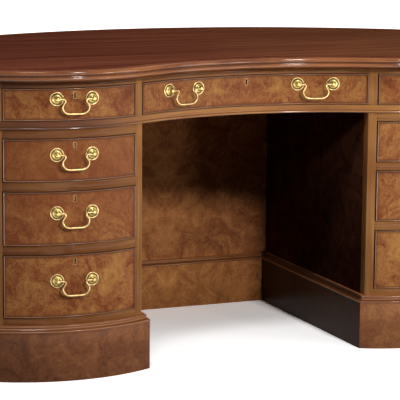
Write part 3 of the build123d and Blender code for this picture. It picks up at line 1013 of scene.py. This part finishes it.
def makeFront(drawer):
    look = frontPiece
    low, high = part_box(f"{drawer}_front")
    xs = spaced(low.x, high.x)
    zs = spaced(low.z, high.z)
    bm = bmesh.new()
    layer = bm.loops.layers.uv.new("edgeDistance")
    insets = {}
    grid = []
    for z in zs:
        row = []
        for x in xs:
            inset = min(x - low.x, high.x - x, z - low.z, high.z - z)
            vert = bm.verts.new((x, frontY(x, beadRise(inset)), z))
            insets[vert] = inset
            row.append(vert)
        grid.append(row)
    for lowRow, highRow in zip(grid, grid[1:]):
        for i in range(len(xs) - 1):
            bm.faces.new((lowRow[i], lowRow[i + 1], highRow[i + 1], highRow[i]))
    # the sides, from the rim to the back
    rim = grid[0][:-1] + [row[-1] for row in grid[:-1]]
    rim += grid[-1][:0:-1] + [row[0] for row in grid[:0:-1]]
    back = {}
    for vert in rim:
        x, z = vert.co.x, vert.co.z
        back[vert] = bm.verts.new((x, backOfFront(low.x, high.x, x), z))
        insets[back[vert]] = -look["thickness"]
    for i, vert in enumerate(rim):
        after = rim[(i + 1) % len(rim)]
        bm.faces.new((after, vert, back[vert], back[after]))
    # the back, one strip for each x
    bottomRow = [back[vert] for vert in grid[0]]
    topRow = [back[vert] for vert in grid[-1]]
    leftColumn = [back[row[0]] for row in grid]
    rightColumn = [back[row[-1]] for row in grid]
    for i in range(len(xs) - 1):
        corners = [topRow[i], topRow[i + 1]]
        corners += rightColumn[-2:0:-1] if i == len(xs) - 2 else []
        corners += [bottomRow[i + 1], bottomRow[i]]
        corners += leftColumn[1:-1] if i == 0 else []
        bm.faces.new(corners)
    for face in bm.faces:
        for loop in face.loops:
            loop[layer].uv = (insets[loop.vert], loop.vert.co.z)
    mesh = makeMesh(bm, f"{drawer}Front", drawerBurl, limit=35)
    piece = addObject(f"{drawer}_veneered_front", mesh)
    # the recess for the lock, open at the top, and the keyhole
    place = facePlace((low.x + high.x) / 2, high.z + look["gap"] - look["keyDrop"])
    width, height, thick = look["lock"]
    over, behind, inwards, outwards = look["overcut"]
    top = look["keyDrop"] - look["gap"]
    right, bottom, top = width / 2, top - height, top + over
    recess = [(-right, bottom), (right, bottom), (right, top), (-right, top)]
    lockFront = look["lockSink"] - look["thickness"] + thick
    cutters = [
        prismPiece(recess, -behind, lockFront, place),
        prismPiece(keyholeOutline(*lockPiece["outer"]), lockFront - inwards, outwards, place),
    ]
    cutAway(piece, cutters)
    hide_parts(f"{drawer}_front")
    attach(piece, drawer)


# handles: turned backplates with ball posts, and a swan-necked bail
handlePiece = {
    "spacing": 0.089,
    "rise": 0.0135,
    "centreX": 0.18203,
    "plateRadius": 0.0175,
    "plateHeight": 0.0066,
    "ballHeight": 0.012,
    "pivotShare": 0.6,
    "turns": 40,
    # radius and height in mm, from the rim over the dome to the top of the ball
    "profile": [
        (0.0, 0.0), (17.0, 0.0), (17.5, 0.3), (17.5, 0.9), (17.2, 1.6), (16.6, 2.05), (15.8, 2.2),
        (15.0, 2.0), (14.4, 1.5), (14.0, 0.95), (13.5, 0.8), (13.0, 1.1), (12.2, 2.0), (11.0, 3.0),
        (9.6, 3.8), (8.2, 4.3), (7.5, 4.4), (7.3, 4.7), (6.9, 5.5), (6.0, 6.2), (4.6, 6.5),
        (3.9, 6.8), (3.6, 7.4), (3.7, 8.1), (4.6, 9.0), (5.5, 10.4), (6.0, 12.0), (6.15, 13.8),
        (5.85, 15.5), (4.9, 17.1), (3.4, 18.15), (1.7, 18.52), (0.0, 18.6),
    ],
    "bailRadius": 0.0024,
    "bellyRadius": 0.003,
    # the share of the drop from which the bail thickens, and the step of its mesh
    "bellyFrom": 0.5,
    "bailStep": 0.002,
    "endGap": 0.0017,
    "neckReach": 0.022,
    "bellyInset": 0.0125,
    "shoulderDrop": 0.0165,
    "drop": 0.0368,
    "corners": (0.0045, 0.009, 0.0185),
    "sides": 14,
}


def lathe(bm, profile, place, turns):
    # UV is the distance from the axis and the height
    layer = bm.loops.layers.uv.verify()
    spots = {}
    rings = []
    for radius, height in profile:
        ring = []
        for i in range(turns if radius else 1):
            angle = 2 * pi * i / turns
            spot = Vector((radius * cos(angle), radius * sin(angle), height))
            ring.append(bm.verts.new(place @ spot))
            spots[ring[-1]] = (radius, height)
        rings.append(ring)
    for face in wallFaces(bm, rings):
        for loop in face.loops:
            loop[layer].uv = spots[loop.vert]


def roundCorners(points, radii, steps=8):
    path = points[:1]
    for last, corner, following, radius in zip(points, points[1:], points[2:], radii):
        before = (last - corner).normalized()
        after = (following - corner).normalized()
        turn = before.angle(after)
        back = radius / (sin(turn / 2) / cos(turn / 2))
        centre = corner + (before + after).normalized() * (radius / sin(turn / 2))
        start = corner + before * back - centre
        end = corner + after * back - centre
        sweep = start.angle(end)
        for step in range(steps + 1):
            share = step / steps
            spoke = start * sin((1 - share) * sweep) + end * sin(share * sweep)
            path.append(centre + spoke / sin(sweep))
    return path + points[-1:]


def tube(bm, path, thickness, flatNormal, sides, place):
    rings = []
    for i, point in enumerate(path):
        heading = (path[min(i + 1, len(path) - 1)] - path[max(i - 1, 0)]).normalized()
        across = heading.cross(flatNormal).normalized()
        ring = []
        for side in range(sides):
            angle = 2 * pi * side / sides
            spoke = across * cos(angle) + flatNormal * sin(angle)
            ring.append(bm.verts.new(place @ (point + spoke * thickness[i])))
        rings.append(ring)
    wallFaces(bm, rings)
    bm.faces.new(rings[0][::-1])
    bm.faces.new(rings[-1])


def handlePlaces(x, z):
    look = handlePiece
    hollowRise = hollowRadius - sqrt(hollowRadius**2 - look["plateRadius"] ** 2)
    places = []
    for postX in (x - look["spacing"] / 2, x + look["spacing"] / 2):
        rise = hollowRise if abs(postX) < kneeholeX else 0.0
        places.append(facePlace(postX, z) @ Matrix.Translation((0, 0, rise)))
    return places


def makeBackplates(drawer, handleXs, z):
    look = handlePiece
    bm = bmesh.new()
    profile = [(radius * mm, height * mm) for radius, height in look["profile"]]
    for x in handleXs:
        for place in handlePlaces(x, z):
            lathe(bm, profile, place, look["turns"])
    mesh = makeMesh(bm, f"{drawer}Backplates", backplateBrass, limit=50)
    newPiece(f"{drawer}_backplates", mesh, drawer, "brass", f"{drawer}_brasses")


lockPiece = {
    "outer": (0.0098, 0.0184),
    "inner": (0.0056, 0.0146),
    # share of the way from the outer to the inner outline, and depth
    "section": [
        (0.0, -0.0088), (0.0, 0.0001), (0.12, 0.0004), (0.88, 0.0004), (1.0, 0.0), (1.0, -0.0088),
    ],
    # the strip of that section from which the lining's inside is painted dark, as shade
    "shadedFrom": 3,
    # the box's play in its recess: up and back, sideways, and at the front
    "play": (0.0001, 0.0002, 0.0003),
    "chamfer": (0.0008, 0.0006),
    "rivets": ((-0.02, -0.006), (0.02, -0.006), (-0.02, -0.028), (0.02, -0.028)),
    "rivetProfile": [
        (0.0, -0.0001), (0.0022, -0.0001), (0.0021, 0.0003), (0.0014, 0.0006), (0.0, 0.0007),
    ],
    "rivetTurns": 16,
}


def makeLining(drawer, place):
    # the brass rim of the keyhole, painted dark inside as shade
    look = lockPiece
    outer, inner = keyholeOutline(*look["outer"]), keyholeOutline(*look["inner"])
    bm = bmesh.new()
    rings = []
    for share, depth in look["section"]:
        pairs = [(Vector((*a, depth)), Vector((*b, depth))) for a, b in zip(outer, inner)]
        rings.append([bm.verts.new(place @ (a + (b - a) * share)) for a, b in pairs])
    for i, face in enumerate(wallFaces(bm, rings + rings[:1])):
        face.material_index = 1 if i >= look["shadedFrom"] * len(outer) else 0
    mesh = makeMesh(bm, f"{drawer}Lining", liningBrass, keyholeShadeBrass)
    newPiece(f"{drawer}_keyhole_lining", mesh, drawer, "brass", f"{drawer}_brasses")


def makeLock(drawer):
    # the keyhole's lining, and the lock's box in its recess, with a chamfered back and four rivets
    look = lockPiece
    low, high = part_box(f"{drawer}_front")
    place = facePlace((low.x + high.x) / 2, high.z + frontPiece["gap"] - frontPiece["keyDrop"])
    makeLining(drawer, place)
    width, height, thick = frontPiece["lock"]
    play, sidePlay, frontPlay = look["play"]
    slope, depth = look["chamfer"]
    top = frontPiece["keyDrop"] - frontPiece["gap"] - play
    back = frontPiece["lockSink"] - frontPiece["thickness"] + play
    bm = bmesh.new()
    rings = []
    for inset, level in ((0.0, back + thick - frontPlay), (0.0, back + depth), (slope, back)):
        right, bottom, upper = width / 2 - sidePlay - inset, top - height + inset, top - inset
        corners = ((-right, bottom), (right, bottom), (right, upper), (-right, upper))
        rings.append([bm.verts.new(place @ Vector((x, y, level))) for x, y in corners])
    wallFaces(bm, rings)
    bm.faces.new(rings[0])
    bm.faces.new(rings[-1])
    for x, y in look["rivets"]:
        spot = place @ Matrix.Translation((x, top + y, back)) @ Matrix.Rotation(pi, 4, "X")
        lathe(bm, look["rivetProfile"], spot, look["rivetTurns"])
    mesh = makeMesh(bm, f"{drawer}Lock", brass)
    newPiece(f"{drawer}_lock", mesh, drawer, "brass", f"{drawer}_brasses")


def makeBail(bailName, x, z):
    look = handlePiece
    stand = look["plateHeight"] + look["pivotShare"] * look["ballHeight"]
    low, high = [place @ Vector((0, 0, stand)) for place in handlePlaces(x, z)]
    along = (high - low).normalized()
    half = (high - low).length / 2
    place = standing((low + high) / 2, along, along.cross(upwards))
    belly = half - look["bellyInset"]
    side = [(look["endGap"] - half, 0), (-look["neckReach"], 0)]
    side += [(-belly, -look["shoulderDrop"]), (-belly, -look["drop"])]
    corners = side + [(-right, y) for right, y in side[::-1]]
    path = [Vector((*corner, 0)) for corner in corners]
    path = roundCorners(path, look["corners"] + look["corners"][::-1])
    dense = []
    for first, second in zip(path, path[1:]):
        count = max(int((second - first).length / look["bailStep"]), 1)
        dense += [first + (second - first) * i / count for i in range(count)]
    dense.append(path[-1])
    # thicker towards the foot, on its inner side
    extra = look["bellyRadius"] - look["bailRadius"]
    start = look["bellyFrom"]
    middleLine = []
    thickness = []
    for point in dense:
        share = max(0.0, min(1.0, (point.y / -look["drop"] - start) / (1 - start)))
        middleLine.append(point + Vector((0, extra * share, 0)))
        thickness.append(look["bailRadius"] + extra * (share * share * (3 - 2 * share)))
    bm = bmesh.new()
    tube(bm, middleLine, thickness, upwards, look["sides"], place)
    mesh = makeMesh(bm, f"{bailName}Bail", brass, limit=60)
    newPiece(f"{bailName}_swan_neck", mesh, bailName, "brass", bailName)


makeTop()
makeWaist()
makeMoulding()
print("top, waist and plinth moulding made")
for drawer in [name for name in frame["bodies"] if name.endswith("_drawer")]:
    low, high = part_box(f"{drawer}_front")
    handleZ = (low.z + high.z) / 2 + handlePiece["rise"]
    handleXs = {f"{drawer}_bail": (low.x + high.x) / 2}
    if drawer.startswith("centre"):
        reach = handlePiece["centreX"]
        handleXs = {f"{drawer}_left_bail": -reach, f"{drawer}_right_bail": reach}
    makeFront(drawer)
    makeBackplates(drawer, handleXs.values(), handleZ)
    makeLock(drawer)
    for bailName, x in handleXs.items():
        makeBail(bailName, x, handleZ)
    print(drawer, "made")


# a round studio floor, seen white and lit grey
floorLook = {
    "radius": 16.0,
    "sides": 96,
    "colour": "#3C3B39",
    "gloss": 0.95,
    "sheen": 0.0,
    "seen": 1.6,
    # where the floor grows brighter, and by how much
    "reach": (0.8, 5.0),
    "growth": 12,
    "mottle": 0.02,
}


def makeFloor():
    look = floorLook
    bm = bmesh.new()
    bmesh.ops.create_circle(bm, cap_ends=True, radius=look["radius"], segments=look["sides"])
    mesh = bpy.data.meshes.new("studioFloor")
    bm.to_mesh(mesh)
    floor = addObject("studio_floor", mesh)
    f = Finish("studioPaper")
    mottle = f.noise(f.place(), 3.0, 2.0)
    x, y = f.parts(f.place())[:2]
    reach = f.between((x * x + y * y) ** 0.5, *look["reach"])
    level = look["seen"] * (1 + reach * look["growth"]) - mottle * look["mottle"]
    colour = f.mix(f.seenStraight(), look["colour"], f.join(level, level, level))
    mesh.materials.append(f.shader(colour, look["gloss"], look, None))


worldLook = {"soft": ["#FFFFFF", 0.07], "seen": ["#FFFFFF", 1.0]}


def makeWorld():
    # white where it is seen, and only a little light on the desk
    f = Finish("studio", "worlds")
    bpy.context.scene.world = f.owner
    soft = f.node("ShaderNodeBackground", values=worldLook["soft"])
    seen = f.node("ShaderNodeBackground", values=worldLook["seen"])
    chosen = f.node("ShaderNodeMixShader", values=[f.seenStraight(), soft, seen])
    f.node("ShaderNodeOutputWorld", values=[chosen])


lampAim = (0.0, 0.0, 0.4)
lampLook = {
    "key": {"place": (0.445, -3.4, 2.32), "size": 0.4, "watts": 77},
    "low": {"place": (1.13, -2.5, 0.65), "size": 0.3, "watts": 7},
    "side": {"place": (2.3, -2.5, 1.0), "size": 1.0, "watts": 22},
    "high": {"place": (-0.9, -1.7, 3.7), "size": 0.7, "watts": 41},
    "back": {"place": (1.3, 3.0, 2.2), "size": 1.6, "watts": 26},
}


def makeLamps():
    for name, look in lampLook.items():
        lamp = bpy.data.lights.new(name, "AREA")
        lamp.size = look["size"]
        lamp.energy = look["watts"]
        holder = addObject(name, lamp)
        holder.location = look["place"]
        heading = Vector(lampAim) - Vector(look["place"])
        holder.rotation_euler = heading.to_track_quat("-Z", "Y").to_euler()


cameraLook = {
    "place": (-2.17665, -5.25041, 1.32519),
    # yaw, pitch and roll in degrees
    "turns": (22.76, 9.85, 0.51),
    "pixels": 400,
    "focalPixels": 2116.5,
    "sensor": 36.0,
    "clipEnd": 100,
}


def makeCamera():
    look = cameraLook
    camera = bpy.data.cameras.new("photographView")
    camera.sensor_fit = "HORIZONTAL"
    camera.sensor_width = look["sensor"]
    camera.lens = look["focalPixels"] / look["pixels"] * look["sensor"]
    camera.clip_end = look["clipEnd"]
    holder = addObject("photographView", camera)
    yaw, pitch, roll = look["turns"]
    stand = Matrix.Translation(look["place"])
    for angle, axis in ((-yaw, "Z"), (90 - pitch, "X"), (roll, "Z")):
        stand = stand @ Matrix.Rotation(radians(angle), 4, axis)
    holder.matrix_world = stand
    bpy.context.scene.camera = holder


makeFloor()
makeWorld()
makeLamps()
makeCamera()
bpy.context.scene.view_settings.view_transform = "Standard"
print("stage, light and camera ready")
